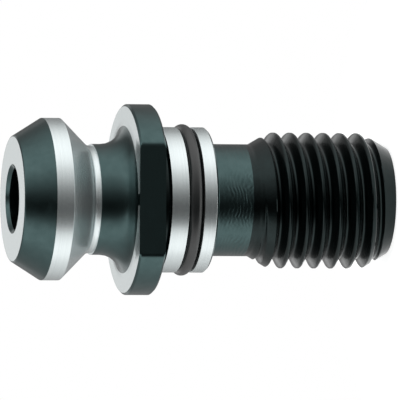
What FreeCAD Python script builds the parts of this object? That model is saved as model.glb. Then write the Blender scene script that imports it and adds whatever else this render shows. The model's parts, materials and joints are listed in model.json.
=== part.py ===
"""Pull stud for a size 40 tool taper: gripper head, neck, wrench flange, pilot, M16 shank and an O-ring.

The frame: +Z runs along the axis towards the head, and the origin is the centre of the flange's seating
face. The wrench flats face +Y and -Y. Heights are measured from the seating face, so the pilot and the
shank lie at negative ones.
"""

import FreeCAD, Part
import os
import Sketcher

# The driving dimensions, in millimetres and degrees
SIZES = {
    # Head: a face, a bevel, a ground band, and the ground cone that the gripper pulls on
    "head_height": 16.4,
    "head_diameter": 18.95,
    "bevel_length": 3.4,
    "bevel_angle": 32.0,
    "band_length": 2.05,
    "cone_angle": 45.0,
    "face_chamfer": 0.2,
    # Neck, with the grinding wheel's run-out groove at the foot of the cone
    "neck_diameter": 12.95,
    "neck_fillet": 3.0,
    "cone_groove_depth": 0.18,
    "cone_groove_width": 0.65,
    # Flange and its two wrench flats
    "flange_diameter": 22.3,
    "flange_thickness": 3.13,
    "flange_chamfer": 0.25,
    "wrench_width": 18.0,
    # Pilot, with a relief in the corner that frees both ground faces
    "pilot_diameter": 17.0,
    "pilot_length": 6.44,
    "pilot_chamfer": 0.25,
    "corner_width": 0.87,
    "corner_depth": 0.3,
    "corner_face_width": 0.4,
    "corner_face_depth": 0.12,
    # O-ring, which stands proud of its groove in the pilot
    "ring_cord": 1.6,
    "ring_stand_out": 0.36,
    "ring_start": 2.94,
    "ring_side_room": 0.22,
    "ring_seat_gap": 0.01,
    # Shank for the M16 thread: the relief and the nose at its ends are both turned below the thread's root
    "relief_length": 5.3,
    "relief_depth": 0.22,
    "shank_length": 16.36,
    "thread_diameter": 16.0,
    "thread_pitch": 2.0,
    "crest_allowance": 0.1,
    "end_angle": 30.0,
    "nose_depth": 0.47,
    # Coolant bore
    "bore_diameter": 7.3,
    "bore_chamfer": 0.4,
}

# Depth of an ISO metric thread's root below its nominal diameter, as a share of the pitch
THREAD_DEPTH_SHARE = 0.6134

# Flat sides of the soft O-ring's round section
RING_SIDES = 16

# Radii and heights that follow from the sizes, as expressions on the sheet
FACE_R = "(Size.head_diameter / 2 - Size.bevel_length * tan(Size.bevel_angle * 1 deg))"
HEAD_R = "(Size.head_diameter / 2)"
NECK_R = "(Size.neck_diameter / 2)"
CONE_ROOT_R = "(Size.neck_diameter / 2 - Size.cone_groove_depth)"
FLANGE_R = "(Size.flange_diameter / 2)"
PILOT_R = "(Size.pilot_diameter / 2)"
GROOVE_R = "(Size.pilot_diameter / 2 + Size.ring_stand_out - Size.ring_cord - Size.ring_seat_gap)"
CREST_R = "((Size.thread_diameter - Size.crest_allowance) / 2)"
THREAD_ROOT_R = f"(Size.thread_diameter / 2 - {THREAD_DEPTH_SHARE} * Size.thread_pitch)"
RELIEF_R = f"({THREAD_ROOT_R} - Size.relief_depth)"
NOSE_R = f"({THREAD_ROOT_R} - Size.nose_depth)"

BEVEL_FOOT = "(Size.head_height - Size.bevel_length)"
CONE_TOP = f"({BEVEL_FOOT} - Size.band_length)"
CONE_FOOT = f"({CONE_TOP} - ({HEAD_R} - {CONE_ROOT_R}) / tan(Size.cone_angle * 1 deg))"
NECK_TOP = f"({CONE_FOOT} - Size.cone_groove_width)"
PILOT_END = "(-Size.pilot_length)"
RELIEF_END = f"({PILOT_END} - Size.relief_length)"
SHANK_TOP = f"({RELIEF_END} - ({CREST_R} - {RELIEF_R}) / tan(Size.end_angle * 1 deg))"
SHANK_END = f"({RELIEF_END} - Size.shank_length)"
NOSE_TOP = f"({SHANK_END} + ({CREST_R} - {NOSE_R}) / tan(Size.end_angle * 1 deg))"


def make_sheet(doc):
    """The spreadsheet of driving dimensions, one alias a row."""
    sheet = doc.addObject("Spreadsheet::Sheet", "Size")
    for row, (name, value) in enumerate(SIZES.items(), start=1):
        sheet.set(f"A{row}", name)
        sheet.set(f"B{row}", str(value))
        sheet.setAlias(f"B{row}", name)
    doc.recompute()
    return sheet


def value(sheet, expression):
    """What an expression on the sheet comes to now, as a plain number."""
    found = sheet.evalExpression(expression)
    return float(getattr(found, "Value", found))


def origin_of(body, role):
    """One of a body's own origin planes or axes."""
    return next(feature for feature in body.Origin.OriginFeatures if feature.Role == role)


def new_sketch(body, name, plane):
    sketch = body.newObject("Sketcher::SketchObject", name)
    sketch.AttachmentSupport = (origin_of(body, plane), [""])
    sketch.MapMode = "FlatFace"
    return sketch


def hold(sketch, geometry, end, label, direction, expression, number):
    """Hold one coordinate of a point at an expression on the sheet."""
    along = "DistanceX" if direction == "x" else "DistanceY"
    index = sketch.addConstraint(Sketcher.Constraint(along, -1, 1, geometry, end, number))
    sketch.renameConstraint(index, f"{label}_{direction}")
    sketch.setExpression(f"Constraints.{label}_{direction}", expression)


def outline(sheet, body, name, plane, corners):
    """A closed outline of straight lines. Each corner is its name and two expressions: across and along."""
    sketch = new_sketch(body, name, plane)
    points = [FreeCAD.Vector(value(sheet, across), value(sheet, along), 0) for _, across, along in corners]
    for start, end in zip(points, points[1:] + points[:1]):
        sketch.addGeometry(Part.LineSegment(start, end), False)
    for line in range(len(corners)):
        following = (line + 1) % len(corners)
        sketch.addConstraint(Sketcher.Constraint("Coincident", line, 2, following, 1))
    for line, (label, across, along) in enumerate(corners):
        hold(sketch, line, 1, label, "x", across, points[line].x)
        hold(sketch, line, 1, label, "y", along, points[line].y)
    return sketch


def turn(body, kind, name, sketch):
    """Revolve a sketch once round the axis: a Revolution adds, a Groove cuts."""
    feature = body.newObject(f"PartDesign::{kind}", name)
    feature.Profile = sketch
    feature.ReferenceAxis = (origin_of(body, "Z_Axis"), [""])
    feature.Angle = 360
    return feature


def ring_edges(shape, radius, height):
    """Names of the full circles about the axis with this radius and height."""
    names = []
    for number, edge in enumerate(shape.Edges, start=1):
        circle = edge.Curve if isinstance(edge.Curve, Part.Circle) else None
        if circle is None or abs(circle.Center.z - height) > 1e-4 or abs(circle.Radius - radius) > 1e-4:
            continue
        names.append(f"Edge{number}")
    return names


def dress(sheet, body, kind, name, places, size):
    """Fillet or chamfer the circles at these (radius, height) places."""
    body.Document.recompute()
    base = body.Tip
    edges = [edge for place in places for edge in ring_edges(base.Shape, *(value(sheet, e) for e in place))]
    feature = body.newObject(f"PartDesign::{kind}", name)
    feature.Base = (base, edges)
    feature.setExpression("Radius" if kind == "Fillet" else "Size", size)
    return feature


def make_blank(sheet, body):
    """The stud as it is first turned: head, cone, neck, flange, pilot, relief and shank in one profile."""
    sketch = outline(sheet, body, "turned_outline", "XZ_Plane", [
        ("end_centre", "0 mm", SHANK_END),
        ("nose_end", NOSE_R, SHANK_END),
        ("nose_top", CREST_R, NOSE_TOP),
        ("shank_top", CREST_R, SHANK_TOP),
        ("relief_end", RELIEF_R, RELIEF_END),
        ("relief_top", RELIEF_R, PILOT_END),
        ("pilot_end", PILOT_R, PILOT_END),
        ("pilot_top", PILOT_R, "0 mm"),
        ("seat_rim", FLANGE_R, "0 mm"),
        ("flange_rim", FLANGE_R, "Size.flange_thickness"),
        ("neck_foot", NECK_R, "Size.flange_thickness"),
        ("neck_top", NECK_R, NECK_TOP),
        ("groove_foot", CONE_ROOT_R, NECK_TOP),
        ("cone_foot", CONE_ROOT_R, CONE_FOOT),
        ("cone_top", HEAD_R, CONE_TOP),
        ("bevel_foot", HEAD_R, BEVEL_FOOT),
        ("face_rim", FACE_R, "Size.head_height"),
        ("face_centre", "0 mm", "Size.head_height"),
    ])
    turn(body, "Revolution", "blank", sketch)


def make_grooves(sheet, body):
    """The relief in the corner below the flange, and the O-ring's groove."""
    relieved_r = f"({PILOT_R} - Size.corner_depth)"
    face_r = f"({PILOT_R} + Size.corner_face_width)"
    corner = outline(sheet, body, "corner_relief_outline", "XZ_Plane", [
        ("face_start", face_r, "0 mm"),
        ("face_deep", PILOT_R, "Size.corner_face_depth"),
        ("corner", relieved_r, "Size.corner_face_depth"),
        ("exit_foot", relieved_r, "Size.corner_depth - Size.corner_width"),
        ("exit_top", PILOT_R, "-Size.corner_width"),
        ("outside", face_r, "-Size.corner_width"),
    ])
    turn(body, "Groove", "corner_relief", corner)

    top, bottom = "(-Size.ring_start)", "(-Size.ring_start - Size.ring_cord - Size.ring_side_room)"
    ring_groove = outline(sheet, body, "ring_groove_outline", "XZ_Plane", [
        ("floor_top", GROOVE_R, top),
        ("floor_bottom", GROOVE_R, bottom),
        ("mouth_bottom", FLANGE_R, bottom),
        ("mouth_top", FLANGE_R, top),
    ])
    turn(body, "Groove", "ring_groove", ring_groove)


def make_flats(sheet, body):
    """Two wrench flats milled across the flange, up to the end of the neck's fillet."""
    for side, sign in (("front", "-"), ("back", "")):
        near, far = f"{sign}Size.wrench_width / 2", f"{sign}Size.flange_diameter"
        sketch = outline(sheet, body, f"{side}_flat_outline", "XY_Plane", [
            ("near_left", "-Size.flange_diameter", near),
            ("near_right", "Size.flange_diameter", near),
            ("far_right", "Size.flange_diameter", far),
            ("far_left", "-Size.flange_diameter", far),
        ])
        pocket = body.newObject("PartDesign::Pocket", f"{side}_flat")
        pocket.Profile = sketch
        pocket.Reversed = True
        pocket.setExpression("Length", "Size.flange_thickness + Size.neck_fillet")


def make_bore(sheet, body):
    """The coolant bore, right through the stud, with a chamfer at each mouth."""
    sketch = new_sketch(body, "bore_outline", "XY_Plane")
    radius = value(sheet, "Size.bore_diameter / 2")
    sketch.addGeometry(Part.Circle(FreeCAD.Vector(0, 0, 0), FreeCAD.Vector(0, 0, 1), radius), False)
    sketch.addConstraint(Sketcher.Constraint("Coincident", 0, 3, -1, 1))
    index = sketch.addConstraint(Sketcher.Constraint("Diameter", 0, 2 * radius))
    sketch.renameConstraint(index, "bore")
    sketch.setExpression("Constraints.bore", "Size.bore_diameter")
    bore = body.newObject("PartDesign::Pocket", "coolant_bore")
    bore.Profile = sketch
    bore.Midplane = True
    bore.setExpression("Length", f"2 * (Size.head_height - {SHANK_END})")
    mouths = [("Size.bore_diameter / 2", "Size.head_height"), ("Size.bore_diameter / 2", SHANK_END)]
    dress(sheet, body, "Chamfer", "bore_mouths", mouths, "Size.bore_chamfer")


def make_edges(sheet, body):
    """The fillet at the foot of the neck, and the broken edges of the turned form."""
    neck_run = f"({NECK_TOP} - Size.flange_thickness)"
    dress(sheet, body, "Fillet", "neck_fillet", [(NECK_R, "Size.flange_thickness")],
          f"min(Size.neck_fillet; 0.98 * {neck_run})")
    dress(sheet, body, "Chamfer", "face_edge", [(FACE_R, "Size.head_height")], "Size.face_chamfer")
    dress(sheet, body, "Chamfer", "flange_edges", [(FLANGE_R, "0 mm"), (FLANGE_R, "Size.flange_thickness")],
          "Size.flange_chamfer")
    dress(sheet, body, "Chamfer", "pilot_edge", [(PILOT_R, PILOT_END)], "Size.pilot_chamfer")


def make_stud_body(doc, sheet):
    """The stud itself: one piece of case-hardened steel."""
    body = doc.addObject("PartDesign::Body", "StudBody")
    body.Label = "stud_body"
    make_blank(sheet, body)
    make_grooves(sheet, body)
    make_edges(sheet, body)
    make_flats(sheet, body)
    make_bore(sheet, body)
    return body


def make_o_ring(doc):
    """The O-ring, lying on the floor of its groove against the wall nearer the flange."""
    section = doc.addObject("Part::RegularPolygon", "RingSection")
    section.Polygon = RING_SIDES
    section.setExpression("Circumradius", f"Size.ring_cord / 2 / cos(180 deg / {RING_SIDES})")
    flat_outwards = FreeCAD.Rotation(FreeCAD.Vector(0, 0, 1), 180 / RING_SIDES)
    upright = FreeCAD.Rotation(FreeCAD.Vector(1, 0, 0), 90)
    section.Placement.Rotation = upright * flat_outwards
    section.setExpression("Placement.Base.x", f"{PILOT_R} + Size.ring_stand_out - Size.ring_cord / 2")
    section.setExpression("Placement.Base.z", "-Size.ring_start - Size.ring_seat_gap - Size.ring_cord / 2")
    ring = doc.addObject("Part::Revolution", "ORing")
    ring.Label = "o_ring"
    ring.Source = section
    ring.Axis = FreeCAD.Vector(0, 0, 1)
    ring.Angle = 360
    ring.Solid = True
    return ring


def check(doc, pieces):
    """Stop if anything failed to compute, or a piece has no sound shape."""
    for item in doc.Objects:
        if "Invalid" in item.State or "Error" in item.State:
            raise RuntimeError(f"{item.Label} failed: {item.State}")
    for piece in pieces:
        if piece.Shape.isNull() or not piece.Shape.isValid():
            raise RuntimeError(f"{piece.Label} has no valid shape")


def main():
    doc = FreeCAD.newDocument("PullStud")
    sheet = make_sheet(doc)
    pieces = [make_stud_body(doc, sheet), make_o_ring(doc)]
    doc.recompute()
    check(doc, pieces)
    os.makedirs("parts", exist_ok=True)
    for piece in pieces:
        piece.Shape.exportStep(f"parts/{piece.Label}.step")
        print(f"{piece.Label}: {piece.Shape.Volume:.1f} mm3")


main()
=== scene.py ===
import json
import math

import bmesh
import bpy
from mathutils import Matrix, Vector


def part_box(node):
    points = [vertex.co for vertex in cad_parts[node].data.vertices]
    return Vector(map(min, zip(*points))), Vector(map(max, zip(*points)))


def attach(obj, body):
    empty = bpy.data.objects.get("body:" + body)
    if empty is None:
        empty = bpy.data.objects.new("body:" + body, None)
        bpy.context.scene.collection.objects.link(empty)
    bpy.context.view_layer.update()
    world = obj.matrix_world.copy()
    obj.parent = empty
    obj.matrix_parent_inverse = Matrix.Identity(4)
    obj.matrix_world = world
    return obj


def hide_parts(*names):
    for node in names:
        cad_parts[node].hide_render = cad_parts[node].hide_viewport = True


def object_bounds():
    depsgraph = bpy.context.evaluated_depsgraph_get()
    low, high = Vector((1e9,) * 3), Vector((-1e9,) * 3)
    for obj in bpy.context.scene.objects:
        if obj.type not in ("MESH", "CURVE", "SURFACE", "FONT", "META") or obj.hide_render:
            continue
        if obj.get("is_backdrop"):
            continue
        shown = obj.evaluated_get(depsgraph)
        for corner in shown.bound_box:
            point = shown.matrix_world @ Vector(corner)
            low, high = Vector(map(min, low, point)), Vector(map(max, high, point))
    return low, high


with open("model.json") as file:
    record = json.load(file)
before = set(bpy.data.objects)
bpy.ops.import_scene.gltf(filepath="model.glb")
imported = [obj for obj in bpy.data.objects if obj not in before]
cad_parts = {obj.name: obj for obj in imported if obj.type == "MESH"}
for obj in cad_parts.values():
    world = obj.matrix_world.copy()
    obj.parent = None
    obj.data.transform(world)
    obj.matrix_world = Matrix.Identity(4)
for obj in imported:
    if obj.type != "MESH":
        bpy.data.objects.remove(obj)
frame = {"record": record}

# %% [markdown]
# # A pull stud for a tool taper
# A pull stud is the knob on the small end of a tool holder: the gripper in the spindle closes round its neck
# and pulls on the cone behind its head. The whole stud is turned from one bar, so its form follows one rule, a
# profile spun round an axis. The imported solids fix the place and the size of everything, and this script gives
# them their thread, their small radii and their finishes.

MM = 0.001
cad_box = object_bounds()
mounts = {mount["name"]: mount for mount in frame["record"]["mounts"]}
HEAD_FACE = mounts["head_face"]["pos_m"][2] / MM
SHANK_END = mounts["end_face"]["pos_m"][2] / MM
PILOT_R = mounts["pilot"]["dims"]["r_mm"]
CREST_R = mounts["thread"]["dims"]["r_mm"]
BORE_R = mounts["coolant_bore"]["dims"]["r_mm"]
FLAT_AT = abs(mounts["wrench_flat_front"]["pos_m"][1]) / MM
print("overall length, mm:", round(HEAD_FACE - SHANK_END, 2), " wrench size, mm:", 2 * FLAT_AT)

# %% [markdown]
# ## Helpers
# Node trees, for geometry and for materials alike, are built with one small function. It adds a node, sets its
# properties, and then feeds each input from a number or from another node's output. Sums are so common in them
# that a second function adds a Math node and gives back its result.

# %% One function for nodes, one for sums, one for colours
def add(tree, kind, inputs=None, **settings):
    """A new node with its properties set, and its inputs fed from values or other nodes' outputs."""
    node = tree.nodes.new(kind)
    for name, value in settings.items():
        setattr(node, name, value)
    for key, value in (inputs or {}).items():
        socket = node.inputs[key]
        if isinstance(value, bpy.types.NodeSocket):
            tree.links.new(value, socket)
        else:
            socket.default_value = value
    return node


def math_node(tree, operation, a, b=0.0, c=0.0):
    return add(tree, "ShaderNodeMath", {0: a, 1: b, 2: c}, operation=operation).outputs[0]


def linear(hex_colour):
    """An sRGB hex colour as the linear RGBA that shader sockets take."""
    channels = [int(hex_colour[i:i + 2], 16) / 255 for i in (1, 3, 5)]
    return tuple(c / 12.92 if c <= 0.04045 else ((c + 0.055) / 1.055) ** 2.4 for c in channels) + (1.0,)


def new_material(name):
    material = bpy.data.materials.new(name)
    material.use_nodes = True
    material.node_tree.nodes.clear()
    return material, material.node_tree


# %% [markdown]
# ## Black oxide on turned steel
# The stud is hardened, blackened in hot salts and oiled. The oxide is about a micron thick, so the tool marks of
# the lathe still show through it, and it shines like dark glass. A metal with a dark, slightly blue-green colour
# gives that: black where it mirrors something dark, and bright along the lamps. The thread is cut last and with
# a coarser tool, so its oxide is more pitted and holds some of the oil, and it is given a darker tone. The
# corner under the flange takes the same dark finish, which there is painted shade in the recess.

# %% Black oxide
# Feed marks fill the relief: the heights, in mm, where they start, are full, begin to fade, and end
FEED_START, FEED_FULL, FEED_FADES, FEED_END = -6.6, -7.8, -10.8, -11.8


def black_oxide_steel(name, light, dark, pit_depth, oil):
    """Black oxide between two tones, over pits of the given depth in metres, under a share of oil."""
    material, tree = new_material(name)
    place = add(tree, "ShaderNodeTexCoord").outputs["Object"]
    # Tool marks: rings about the axis, 0.18 mm apart and slightly uneven, from a noise squeezed along the axis
    rings = add(tree, "ShaderNodeMapping", {"Vector": place, "Scale": (60, 60, 5500)})
    marks = add(tree, "ShaderNodeTexNoise", {"Vector": rings.outputs[0], "Scale": 1.0, "Detail": 2.0})
    # Pores and salt stains in the oxide, about 0.5 mm across
    stains = add(tree, "ShaderNodeTexNoise", {"Vector": place, "Scale": 900.0, "Detail": 4.0,
                                              "Roughness": 0.6})
    gloss = add(tree, "ShaderNodeMapRange", {"Value": stains.outputs["Fac"], "From Min": 0.35,
                                             "From Max": 0.7, "To Min": 0.17, "To Max": 0.27})
    tint = add(tree, "ShaderNodeMix", {"Factor": stains.outputs["Fac"], "A": linear(light),
                                       "B": linear(dark)}, data_type="RGBA")
    turned = add(tree, "ShaderNodeBump", {"Height": marks.outputs["Fac"], "Strength": 0.25,
                                          "Distance": 0.00001})
    # Feed marks in the relief: rings 0.45 mm apart that wander, where the tool was pulled back from the thread
    height = add(tree, "ShaderNodeSeparateXYZ", {0: place}).outputs["Z"]
    below = add(tree, "ShaderNodeMapRange", {"Value": height, "From Min": FEED_START * MM,
                                             "From Max": FEED_FULL * MM}).outputs[0]
    over = add(tree, "ShaderNodeMapRange", {"Value": height, "From Min": FEED_END * MM,
                                            "From Max": FEED_FADES * MM}).outputs[0]
    feed = add(tree, "ShaderNodeTexWave", {"Vector": place, "Scale": 700.0, "Distortion": 9.0, "Detail": 2.0,
                                           "Detail Scale": 0.6}, bands_direction="Z")
    marked = add(tree, "ShaderNodeBump", {"Height": feed.outputs["Fac"], "Distance": 0.00003,
                                          "Strength": math_node(tree, "MULTIPLY", below, over),
                                          "Normal": turned.outputs[0]})
    pits = add(tree, "ShaderNodeBump", {"Height": stains.outputs["Fac"], "Strength": 1.0,
                                        "Distance": pit_depth, "Normal": marked.outputs[0]})
    surface = add(tree, "ShaderNodeBsdfPrincipled", {
        "Metallic": 1.0, "Base Color": tint.outputs["Result"], "Roughness": gloss.outputs[0],
        "Normal": pits.outputs[0], "Coat Weight": oil, "Coat Roughness": 0.1})
    add(tree, "ShaderNodeOutputMaterial", {"Surface": surface.outputs[0]})
    return material


OXIDE = black_oxide_steel("black oxide on turned steel", "#4a5c5c", "#3a4c4c", 0.000002, 0.0)
# The thread's darker oxide, which in the corner under the flange is painted shade in the recess
DARK_OXIDE_AND_CORNER_SHADE = black_oxide_steel("dark oxide on the thread, painted shade under the flange", "#1e2a2a", "#121a1a", 0.00003, 0.25)

# %% [markdown]
# ## Ground steel
# The head's face, its band and its cone, the flange's face and the pilot's two lands are ground after the
# blackening, so they are bare steel. A grinding wheel leaves fine lines round the axis, which smear a highlight
# across them. Their scratches scatter some of the light in all directions: a metallic value a little under 1
# stands for that.

# %% Ground steel
def ground_steel():
    material, tree = new_material("cylindrically ground steel")
    place = add(tree, "ShaderNodeTexCoord").outputs["Object"]
    # Grinding lines, 0.1 mm apart: far coarser than the real ones, which would be too fine to show
    lines = add(tree, "ShaderNodeMapping", {"Vector": place, "Scale": (40, 40, 9000)})
    scratches = add(tree, "ShaderNodeTexNoise", {"Vector": lines.outputs[0], "Scale": 1.0, "Detail": 3.0})
    tint = add(tree, "ShaderNodeMix", {"Factor": scratches.outputs["Fac"], "A": linear("#ccd5d6"),
                                       "B": linear("#e0e7e7")}, data_type="RGBA")
    bump = add(tree, "ShaderNodeBump", {"Height": scratches.outputs["Fac"], "Strength": 0.2,
                                        "Distance": 0.00001})
    surface = add(tree, "ShaderNodeBsdfPrincipled", {"Metallic": 0.87, "Base Color": tint.outputs["Result"],
                                                     "Roughness": 0.25, "Normal": bump.outputs[0]})
    add(tree, "ShaderNodeOutputMaterial", {"Surface": surface.outputs[0]})
    return material


GROUND = ground_steel()

# %% [markdown]
# ## Nitrile rubber
# The O-ring is moulded from black nitrile rubber and oiled. It is smooth, with a broad soft highlight, so it is
# a plain dark plastic to Blender, with a thin coat for the oil.

# %% Nitrile rubber
def nitrile_rubber():
    material, tree = new_material("moulded nitrile rubber")
    place = add(tree, "ShaderNodeTexCoord").outputs["Object"]
    # Talc and dust, in specks about 0.4 mm across
    dust = add(tree, "ShaderNodeTexNoise", {"Vector": place, "Scale": 1200.0, "Detail": 3.0})
    gloss = add(tree, "ShaderNodeMapRange", {"Value": dust.outputs["Fac"], "To Min": 0.28, "To Max": 0.42})
    surface = add(tree, "ShaderNodeBsdfPrincipled", {
        "Base Color": linear("#121616"), "Roughness": gloss.outputs[0], "IOR": 1.52,
        "Coat Weight": 0.3, "Coat Roughness": 0.2})
    add(tree, "ShaderNodeOutputMaterial", {"Surface": surface.outputs[0]})
    return material


RUBBER = nitrile_rubber()

# %% [markdown]
# ## The turned profile
# A lathe makes the stud by following one line: this is that line, from the bore's mouth in the head, over the
# outside down to the relief, and back from the end face through the bore. Each corner has a radius and a height
# in millimetres, and the small radius that the tool or a file leaves on it. Points close beside each arc keep
# the shading of the straight runs flat.

# %% The rounding of a profile's corners
ARC_STEP = math.radians(15)


def rounded(corners, beside=0.05):
    """Corners (r, z, fillet) joined by straight runs and arcs, as a list of (r, z) points."""
    line = []
    for i, (r, z, fillet) in enumerate(corners):
        here = Vector((r, z))
        if fillet == 0 or i in (0, len(corners) - 1):
            line.append(here)
            continue
        back = (Vector(corners[i - 1][:2]) - here).normalized()
        ahead = (Vector(corners[i + 1][:2]) - here).normalized()
        half = back.angle(ahead) / 2
        reach = fillet / math.tan(half)
        centre = here + (back + ahead).normalized() * fillet / math.sin(half)
        first, last = here + back * reach - centre, here + ahead * reach - centre
        turn = first.angle_signed(last)
        steps = max(2, round(abs(turn) / ARC_STEP))
        line.append(here + back * (reach + beside))
        for k in range(steps + 1):
            angle = -turn * k / steps
            line.append(centre + Vector((first.x * math.cos(angle) - first.y * math.sin(angle),
                                         first.x * math.sin(angle) + first.y * math.cos(angle))))
        line.append(here + ahead * (reach + beside))
    return line


# %% The profile's sizes, in millimetres
HEAD_R, FACE_R, NECK_R, CONE_ROOT_R, FLANGE_R = 9.475, 7.35, 6.475, 6.295, 11.15
UNDERCUT_R, GROOVE_R, RELIEF_R, THREAD_ROOT_R, NOSE_R = PILOT_R - 0.3, 7.25, 6.553, 6.773, 6.303
BEVEL_FOOT, CONE_TOP, CONE_FOOT, NECK_TOP, FLANGE_TOP = HEAD_FACE - 3.4, 10.95, 7.77, 7.12, 3.13
UNDERCUT_TOP, UNDERCUT_FOOT, LAND_TOP = 0.12, -0.57, -0.87
GROOVE_TOP, GROOVE_FOOT = -2.94, -4.76
PILOT_END, THREAD_FROM, RELIEF_END = -6.44, -11.0, -11.74
BORE_CHAMFER, RIM_CHAMFER, PILOT_CHAMFER, CORNER_WIDTH = 0.4, 0.25, 0.25, 0.4

# %% The profile's corners
outside = rounded([
    (BORE_R, 0, 0),
    (BORE_R, HEAD_FACE - BORE_CHAMFER, 0.05),
    (BORE_R + BORE_CHAMFER, HEAD_FACE, 0.05),
    (FACE_R, HEAD_FACE, 0.3),
    (HEAD_R, BEVEL_FOOT, 0.08),
    (HEAD_R, CONE_TOP, 0.06),
    (CONE_ROOT_R, CONE_FOOT, 0.8),
    (CONE_ROOT_R, NECK_TOP, 0.02),
    (NECK_R, NECK_TOP, 0.03),
    (NECK_R, FLANGE_TOP, 2.9),
    (FLANGE_R - RIM_CHAMFER, FLANGE_TOP, 0.06),
    (FLANGE_R, FLANGE_TOP - RIM_CHAMFER, 0.06),
    (FLANGE_R, RIM_CHAMFER, 0.06),
    (FLANGE_R - RIM_CHAMFER, 0, 0.06),
    (PILOT_R + CORNER_WIDTH, 0, 0.02),
    (PILOT_R, UNDERCUT_TOP, 0.02),
    (UNDERCUT_R, UNDERCUT_TOP, 0.05),
    (UNDERCUT_R, UNDERCUT_FOOT, 0.1),
    (PILOT_R, LAND_TOP, 0.05),
    (PILOT_R, GROOVE_TOP, 0.08),
    (GROOVE_R, GROOVE_TOP, 0.15),
    (GROOVE_R, GROOVE_FOOT, 0.15),
    (PILOT_R, GROOVE_FOOT, 0.08),
    (PILOT_R, PILOT_END + PILOT_CHAMFER, 0.05),
    (PILOT_R - PILOT_CHAMFER, PILOT_END, 0.05),
    (RELIEF_R, PILOT_END, 0.6),
    (RELIEF_R, THREAD_FROM, 0),
])
end_face = rounded([
    (NOSE_R, SHANK_END, 0),
    (NOSE_R - 0.1, SHANK_END, 0),
    (BORE_R + BORE_CHAMFER, SHANK_END, 0.05),
    (BORE_R, SHANK_END + BORE_CHAMFER, 0.05),
    (BORE_R, 0, 0),
])
print("profile points:", len(outside), "outside,", len(end_face), "at the end")


# %% A profile line as an object
def profile_object(name, points):
    """Loose edges in the XZ plane, in metres, that a lathe tree spins."""
    mesh = bpy.data.meshes.new(name)
    corners = [(r * MM, 0, z * MM) for r, z in points]
    mesh.from_pydata(corners, [(i, i + 1) for i in range(len(points) - 1)], [])
    thing = bpy.data.objects.new(name, mesh)
    bpy.context.scene.collection.objects.link(thing)
    return thing


# %% [markdown]
# ## The lathe, as a node tree
# A grid has as many columns as the profile has points, and a row for each step round the axis. Each of its
# points looks up its place on the profile by its column and is turned by its row's angle. The wrench flats are
# milled in the same tree: what stands out past them is pushed back to their plane.

# %% What every geometry tree starts and ends with
STEPS_ROUND = 256


def new_tree(name, inputs):
    """A geometry tree with named inputs (name, socket type, default), and its input and output nodes."""
    tree = bpy.data.node_groups.new(name, "GeometryNodeTree")
    tree.interface.new_socket("Geometry", in_out="INPUT", socket_type="NodeSocketGeometry")
    tree.interface.new_socket("Geometry", in_out="OUTPUT", socket_type="NodeSocketGeometry")
    for label, kind, default in inputs:
        socket = tree.interface.new_socket(label, in_out="INPUT", socket_type=kind)
        if default is not None:
            socket.default_value = default
    return tree, add(tree, "NodeGroupInput").outputs, add(tree, "NodeGroupOutput")


def end_tree(tree, shape, finish, result):
    """Realize the shape, give it its finish, and hand it on."""
    whole = add(tree, "GeometryNodeRealizeInstances", {"Geometry": shape.outputs[0]})
    coated = add(tree, "GeometryNodeSetMaterial", {"Geometry": whole.outputs[0], "Material": finish})
    tree.links.new(coated.outputs[0], result.inputs[0])


# %% The lathe tree
def lathe_tree():
    tree, given, result = new_tree("lathe", [
        ("Steps round", "NodeSocketInt", STEPS_ROUND),
        ("Half width across flats", "NodeSocketFloat", FLAT_AT * MM),
        ("Milled below", "NodeSocketFloat", 3.6 * MM),
        ("Finish", "NodeSocketMaterial", None),
    ])
    line = given["Geometry"]
    points = add(tree, "GeometryNodeAttributeDomainSize", {"Geometry": line}).outputs["Point Count"]
    rows = math_node(tree, "ADD", given["Steps round"], 1)
    grid = add(tree, "GeometryNodeMeshGrid", {"Vertices X": points, "Vertices Y": rows}).outputs["Mesh"]
    index = add(tree, "GeometryNodeInputIndex").outputs[0]
    column = math_node(tree, "FLOOR", math_node(tree, "DIVIDE", math_node(tree, "ADD", index, 0.5), rows))
    row = math_node(tree, "SUBTRACT", index, math_node(tree, "MULTIPLY", column, rows))
    place = add(tree, "GeometryNodeInputPosition").outputs[0]
    on_profile = add(tree, "GeometryNodeSampleIndex", {"Geometry": line, "Value": place, "Index": column},
                     data_type="FLOAT_VECTOR").outputs[0]
    turned = math_node(tree, "DIVIDE", math_node(tree, "MULTIPLY", row, math.tau), given["Steps round"])
    spun = add(tree, "ShaderNodeVectorRotate", {"Vector": on_profile, "Angle": turned},
               rotation_type="Z_AXIS").outputs[0]
    blank = add(tree, "GeometryNodeSetPosition", {"Geometry": grid, "Position": spun}).outputs[0]

    at = add(tree, "ShaderNodeSeparateXYZ", {0: place}).outputs
    half = given["Half width across flats"]
    proud = math_node(tree, "GREATER_THAN", math_node(tree, "ABSOLUTE", at["Y"]), half)
    low = math_node(tree, "LESS_THAN", at["Z"], given["Milled below"])
    milled_y = math_node(tree, "MULTIPLY", math_node(tree, "SIGN", at["Y"]), half)
    milled = add(tree, "ShaderNodeCombineXYZ", {"X": at["X"], "Y": milled_y, "Z": at["Z"]}).outputs[0]
    flats = add(tree, "GeometryNodeSetPosition", {"Geometry": blank, "Position": milled,
                                                  "Selection": math_node(tree, "MULTIPLY", proud, low)})
    end_tree(tree, flats, given["Finish"], result)
    return tree


LATHE = lathe_tree()

# %% [markdown]
# ## The thread, as a node tree
# An M16 x 2 thread is one groove that climbs 2 mm a turn. A long ribbon, one pitch wide, is wound into a helix
# so that its upper edge meets the lower edge of the next turn. Across the ribbon, the radius follows the
# thread's form: root, flank, crest, flank. The chamfered nose and the relief cap that radius, so the thread runs
# out in them as a cut one does, and the ribbon's ends are pressed onto the two end planes.

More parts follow.
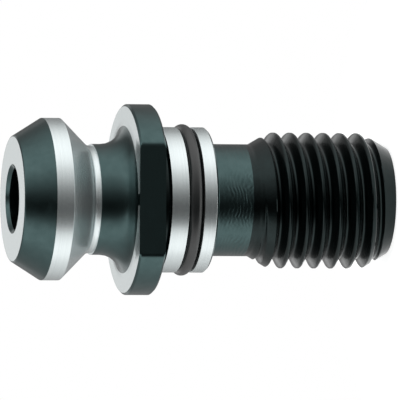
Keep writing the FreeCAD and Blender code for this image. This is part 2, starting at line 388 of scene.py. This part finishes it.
# %% The thread tree
def thread_tree():
    tree, given, result = new_tree("thread", [
        ("Pitch", "NodeSocketFloat", 2 * MM),
        ("Major radius", "NodeSocketFloat", 8 * MM),
        ("Crest radius", "NodeSocketFloat", CREST_R * MM),
        ("Root radius", "NodeSocketFloat", THREAD_ROOT_R * MM),
        ("Crest rounding", "NodeSocketFloat", 0.06 * MM),
        ("Root rounding", "NodeSocketFloat", 0.3 * MM),
        ("Relief radius", "NodeSocketFloat", RELIEF_R * MM),
        ("Nose radius", "NodeSocketFloat", NOSE_R * MM),
        ("Top", "NodeSocketFloat", THREAD_FROM * MM),
        ("Relief end", "NodeSocketFloat", RELIEF_END * MM),
        ("End", "NodeSocketFloat", SHANK_END * MM),
        ("End angle", "NodeSocketFloat", math.radians(30)),
        ("A crest at", "NodeSocketFloat", -18.67 * MM),
        ("Steps round", "NodeSocketInt", STEPS_ROUND),
        ("Steps across", "NodeSocketInt", 20),
        ("Turns", "NodeSocketInt", 11),
        ("Finish", "NodeSocketMaterial", None),
    ])
    pitch = given["Pitch"]
    rows = math_node(tree, "ADD", math_node(tree, "MULTIPLY", given["Steps round"], given["Turns"]), 1)
    columns = math_node(tree, "ADD", given["Steps across"], 1)
    ribbon = add(tree, "GeometryNodeMeshGrid", {"Size X": 1.0, "Size Y": 1.0, "Vertices X": columns,
                                                "Vertices Y": rows}).outputs["Mesh"]
    place = add(tree, "GeometryNodeInputPosition").outputs[0]
    at = add(tree, "ShaderNodeSeparateXYZ", {0: place}).outputs
    across = math_node(tree, "ADD", at["X"], 0.5)
    turns = math_node(tree, "MULTIPLY", math_node(tree, "ADD", at["Y"], 0.5), given["Turns"])

    # The ribbon starts less than two pitches below the end plane, where a root passes the angle 0
    wanted = math_node(tree, "SUBTRACT", given["A crest at"], given["End"])
    phase = math_node(tree, "FRACT", math_node(tree, "ADD", math_node(tree, "DIVIDE", wanted, pitch), 0.5))
    start = math_node(tree, "MULTIPLY_ADD", math_node(tree, "SUBTRACT", phase, 2), pitch, given["End"])
    height = math_node(tree, "MULTIPLY_ADD", math_node(tree, "ADD", turns, across), pitch, start)
    height = math_node(tree, "MINIMUM", math_node(tree, "MAXIMUM", height, given["End"]), given["Top"])

    # The thread's form: flanks at 60 degrees, an eighth of the pitch flat on the crest, and a rounded root
    off_middle = math_node(tree, "ABSOLUTE", math_node(tree, "SUBTRACT", across, 0.5))
    from_crest = math_node(tree, "MULTIPLY", off_middle, pitch)
    half_flat = math_node(tree, "MULTIPLY", pitch, 1 / 16)
    down_flank = math_node(tree, "MULTIPLY", math_node(tree, "SUBTRACT", from_crest, half_flat), math.sqrt(3))
    flank = math_node(tree, "SUBTRACT", given["Major radius"], down_flank)
    form = math_node(tree, "SMOOTH_MAX", flank, given["Root radius"], given["Root rounding"])
    form = math_node(tree, "SMOOTH_MIN", form, given["Crest radius"], given["Crest rounding"])

    slope = math_node(tree, "TANGENT", given["End angle"])
    above_end = math_node(tree, "SUBTRACT", height, given["End"])
    nose = math_node(tree, "MULTIPLY_ADD", above_end, slope, given["Nose radius"])
    below_relief = math_node(tree, "MAXIMUM", math_node(tree, "SUBTRACT", given["Relief end"], height), 0)
    relief = math_node(tree, "MULTIPLY_ADD", below_relief, slope, given["Relief radius"])
    radius = math_node(tree, "MINIMUM", form, math_node(tree, "MINIMUM", nose, relief))

    angle = math_node(tree, "MULTIPLY", turns, math.tau)
    x = math_node(tree, "MULTIPLY", radius, math_node(tree, "COSINE", angle))
    y = math_node(tree, "MULTIPLY", radius, math_node(tree, "SINE", angle))
    wound = add(tree, "ShaderNodeCombineXYZ", {"X": x, "Y": y, "Z": height}).outputs[0]
    helix = add(tree, "GeometryNodeSetPosition", {"Geometry": ribbon, "Position": wound})
    end_tree(tree, helix, given["Finish"], result)
    return tree


THREAD = thread_tree()


# %% Running a tree on an object, and keeping the plain mesh
def made_by(tree, thing, **values):
    """The mesh that a tree makes of an object. The object and its modifier are removed."""
    modifier = thing.modifiers.new(tree.name, "NODES")
    modifier.node_group = tree
    for item in tree.interface.items_tree:
        if item.in_out == "INPUT" and item.name in values:
            modifier[item.identifier] = values[item.name]
    evaluated = thing.evaluated_get(bpy.context.evaluated_depsgraph_get())
    mesh = bpy.data.meshes.new_from_object(evaluated)
    bpy.data.objects.remove(thing)
    return mesh


meshes = [
    made_by(LATHE, profile_object("outside", outside), Finish=OXIDE),
    made_by(THREAD, profile_object("thread", [(0, 0), (0, 1)]), Finish=DARK_OXIDE_AND_CORNER_SHADE),
    made_by(LATHE, profile_object("end", end_face), Finish=OXIDE),
]
print("points in each part:", [len(mesh.vertices) for mesh in meshes])

# %% [markdown]
# ## One closed skin
# The three meshes share their end circles, so merging the doubles closes them into one skin. Edges sharper than
# 28 degrees stay crisp. Each face then takes its finish by where it lies: bare steel on the ground bands and on
# the two faces that look up, the darker oxide on the thread, the same dark finish as painted shade in the corner
# under the flange, and the turned steel's oxide everywhere else.

# %% Join and close the stud
def closed_mesh(name, parts):
    """Meshes joined into one, with doubles merged and faces pointing outwards."""
    skin = bmesh.new()
    for part in parts:
        skin.from_mesh(part)
    bmesh.ops.remove_doubles(skin, verts=skin.verts, dist=0.002 * MM)
    bmesh.ops.dissolve_degenerate(skin, edges=skin.edges, dist=0.001 * MM)
    bmesh.ops.recalc_face_normals(skin, faces=skin.faces)
    open_edges = sum(1 for edge in skin.edges if not edge.is_manifold)
    mesh = bpy.data.meshes.new(name)
    skin.to_mesh(mesh)
    print(name, "faces:", len(mesh.polygons), "edges that aren't closed:", open_edges,
          "volume, mm3:", round(skin.calc_volume() / MM ** 3, 1))
    skin.free()
    return mesh


stud_mesh = closed_mesh("stud", meshes)

# %% Give each face its finish
FINISHES = (OXIDE, GROUND, DARK_OXIDE_AND_CORNER_SHADE)
GROUND_BANDS = {
    "cone and band": (NECK_TOP - 0.05, BEVEL_FOOT - 0.02),
    "upper land": (GROOVE_TOP - 0.04, LAND_TOP - 0.01),
    "lower land": (PILOT_END + 0.19, GROOVE_FOOT + 0.04),
}
INSIDE_CONE, INSIDE_LANDS = 6.2, PILOT_R - 0.12
LOOKS_UP = 0.97


def finish_at(height, radius, rise):
    """Which finish a face has, from its height and radius in mm and how far its normal rises."""
    # The thread takes the darker oxide, and the corner under the flange takes it as painted shade
    if height < THREAD_FROM or (LAND_TOP + 0.01 < height < 0 and radius < PILOT_R + CORNER_WIDTH):
        return DARK_OXIDE_AND_CORNER_SHADE
    in_band = any(low < height < high for low, high in GROUND_BANDS.values())
    if in_band and radius > INSIDE_CONE and (height >= 0 or radius >= INSIDE_LANDS):
        return GROUND
    if rise > LOOKS_UP and radius > BORE_R + BORE_CHAMFER:
        return GROUND
    return OXIDE


for finish in FINISHES:
    stud_mesh.materials.append(finish)
for face in stud_mesh.polygons:
    middle = face.center / MM
    finish = finish_at(middle.z, math.hypot(middle.x, middle.y), face.normal.z)
    face.material_index = FINISHES.index(finish)
stud_mesh.shade_smooth()
stud_mesh.set_sharp_from_angle(angle=math.radians(28))
stud = bpy.data.objects.new("stud", stud_mesh)
bpy.context.scene.collection.objects.link(stud)
print("faces of each finish:", [sum(1 for face in stud_mesh.polygons if face.material_index == i)
                                for i in range(len(FINISHES))])

# %% [markdown]
# ## The O-ring
# A ring of round section, a little wider than its groove is deep, so that it stands proud of the pilot.

# %% Make the O-ring
ring_low, ring_high = (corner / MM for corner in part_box("o_ring"))
CORD = ring_high.z - ring_low.z
bpy.ops.mesh.primitive_torus_add(major_segments=192, minor_segments=32,
                                 major_radius=(ring_high.x - CORD / 2) * MM, minor_radius=CORD / 2 * MM)
ring = bpy.context.object
ring.name = "seal_ring"
for vertex in ring.data.vertices:
    vertex.co.z += (ring_high.z - CORD / 2) * MM
ring.data.shade_smooth()
ring.data.materials.append(RUBBER)
print("O-ring cord, mm:", round(CORD, 2), "outer radius, mm:", round(ring_high.x, 2))

# %% [markdown]
# ## Floor, light and camera
# Round, shiny work is best lit in a light tent: white walls all round it, lit from outside, and a dark slit in
# front, where the camera looks in. The stud stands in such a tent on a small round table of pale card. The slit
# draws the dark line along the stud, and the two brightest walls, at its sides, draw the bright lines.

# %% Table
TABLE_R = 25
bpy.ops.mesh.primitive_circle_add(vertices=96, radius=TABLE_R * MM, fill_type="NGON")
floor = bpy.context.object
floor.name = "table"
for corner in floor.data.vertices:
    corner.co.z = cad_box[0][2]
card, tree = new_material("pale card")
path = add(tree, "ShaderNodeLightPath").outputs
mirrored = math_node(tree, "MAXIMUM", path["Is Glossy Ray"], path["Is Transmission Ray"])
seen = math_node(tree, "MAXIMUM", path["Is Camera Ray"], mirrored)
paper = add(tree, "ShaderNodeBsdfPrincipled", {"Base Color": linear("#dcdedd"), "Roughness": 0.9,
                                               "Emission Color": (1, 1, 1, 1),
                                               "Emission Strength": math_node(tree, "MULTIPLY", seen, 0.75)})
add(tree, "ShaderNodeOutputMaterial", {"Surface": paper.outputs[0]})
floor.data.materials.append(card)

# %% The tent's walls
SLIT_AT = math.radians(-14)
# How bright the wall is at each angle from the slit's middle, in degrees, counted positive towards +X
WALLS = [
    (-180, 0.2), (-140, 0.4), (-110, 0.7), (-83, 1.05), (-63, 1.4), (-46, 1.25), (-30, 0.62), (-15, 0.12),
    (0, 0.05), (14, 0.12), (28, 0.28), (43, 0.62), (58, 0.95), (74, 1.35), (91, 1.45), (112, 1.25),
    (135, 0.75), (160, 0.3), (180, 0.2),
]
BRIGHTEST = max(brightness for _, brightness in WALLS)
BEHIND_EXTRA = 0.7
print("walls, dimmest and brightest:", min(brightness for _, brightness in WALLS), BRIGHTEST)

# %% Light tent
world = bpy.data.worlds.new("light tent")
bpy.context.scene.world = world
world.use_nodes = True
tree = world.node_tree
tree.nodes.clear()
path = add(tree, "ShaderNodeLightPath").outputs
direction = add(tree, "ShaderNodeTexCoord").outputs["Generated"]
towards = add(tree, "ShaderNodeSeparateXYZ", {0: direction}).outputs
round_axis = math_node(tree, "ARCTAN2", towards["X"], math_node(tree, "MULTIPLY", towards["Y"], -1))
from_slit = math_node(tree, "WRAP", math_node(tree, "SUBTRACT", round_axis, SLIT_AT), math.pi, -math.pi)
share_round = math_node(tree, "MULTIPLY_ADD", from_slit, 1 / math.tau, 0.5)
wall = add(tree, "ShaderNodeFloatCurve", {"Value": share_round})
curve = wall.mapping.curves[0]
for i, (angle, brightness) in enumerate(WALLS):
    point = curve.points[i] if i < 2 else curve.points.new(0, 0)
    point.location = (angle / 360 + 0.5, brightness / BRIGHTEST)
wall.mapping.update()
# The wall behind the stud is brighter above its foot, which the faces that look up mirror
above = add(tree, "ShaderNodeMapRange", {"Value": towards["Z"], "From Min": 0.0, "From Max": 0.2,
                                         "To Min": 0.0, "To Max": BEHIND_EXTRA},
            interpolation_type="SMOOTHSTEP").outputs[0]
behind = add(tree, "ShaderNodeMapRange", {"Value": towards["Y"], "From Min": 0.8, "From Max": 0.96,
                                          "To Min": 0.0, "To Max": 1.0},
             interpolation_type="SMOOTHSTEP").outputs[0]
lit_walls = math_node(tree, "MULTIPLY", wall.outputs[0], BRIGHTEST)
tent = math_node(tree, "MULTIPLY_ADD", above, behind, lit_walls)
seen = math_node(tree, "MAXIMUM", path["Is Camera Ray"], path["Is Transmission Ray"])
strength = add(tree, "ShaderNodeMix", {"Factor": seen, "A": tent, "B": 1.0}, data_type="FLOAT").outputs[0]
sky = add(tree, "ShaderNodeBackground", {"Color": (1, 1, 1, 1), "Strength": strength})
add(tree, "ShaderNodeOutputWorld", {"Surface": sky.outputs[0]})

# %% [markdown]
# ## The camera
# The camera looks in beside the middle of the slit, from a little above the stud, and is laid on its side, so
# that the stud's head points to the left of the picture. It is far away and has a long lens, which keeps the two
# ends of the stud at one scale.

# %% Camera
VIEW_RISE = math.radians(12.5)
ROLL = math.radians(-0.34)
DISTANCE = 1.25
SENSOR = 36
MM_ACROSS = 400 / 8.55
AIM_BELOW_HEAD = 22.4
camera_data = bpy.data.cameras.new("camera")
camera = bpy.data.objects.new("camera", camera_data)
bpy.context.scene.collection.objects.link(camera)
bpy.context.scene.camera = camera
camera_data.sensor_width = SENSOR
camera_data.lens = SENSOR * DISTANCE / (MM_ACROSS * MM)
camera_data.clip_end = 10
aim = Vector((0, 0, (HEAD_FACE - AIM_BELOW_HEAD) * MM))
back = Vector((0, -math.cos(VIEW_RISE), math.sin(VIEW_RISE)))
camera.location = aim + back * DISTANCE
image_left = Vector((0, math.sin(VIEW_RISE), math.cos(VIEW_RISE)))
image_up = Vector((1, 0, 0))
right = (-image_left * math.cos(ROLL) - image_up * math.sin(ROLL))
up = right.cross(back) * -1
camera.matrix_world = Matrix.Translation(camera.location) @ Matrix((right, up, back)).transposed().to_4x4()
print("lens, mm:", round(camera_data.lens), "width of the view, mm:", round(MM_ACROSS, 1))

# %% Colour
bpy.context.scene.view_settings.view_transform = "Standard"

# %% [markdown]
# ## Hand over
# Each piece rides on the one body and stands for its solid.

# %% Ride, replace, and check the size
for piece, node, finish_slot in ((stud, "stud_body", "black_oxide_steel"), (ring, "o_ring", "seal_rubber")):
    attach(piece, "root")
    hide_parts(node)
floor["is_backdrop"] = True
visual_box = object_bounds()
for axis, low, high, cad_low, cad_high in zip("XYZ", *visual_box, *cad_box):
    print(axis, "visual", round(low / MM, 2), round(high / MM, 2),
          "solid", round(cad_low / MM, 2), round(cad_high / MM, 2))
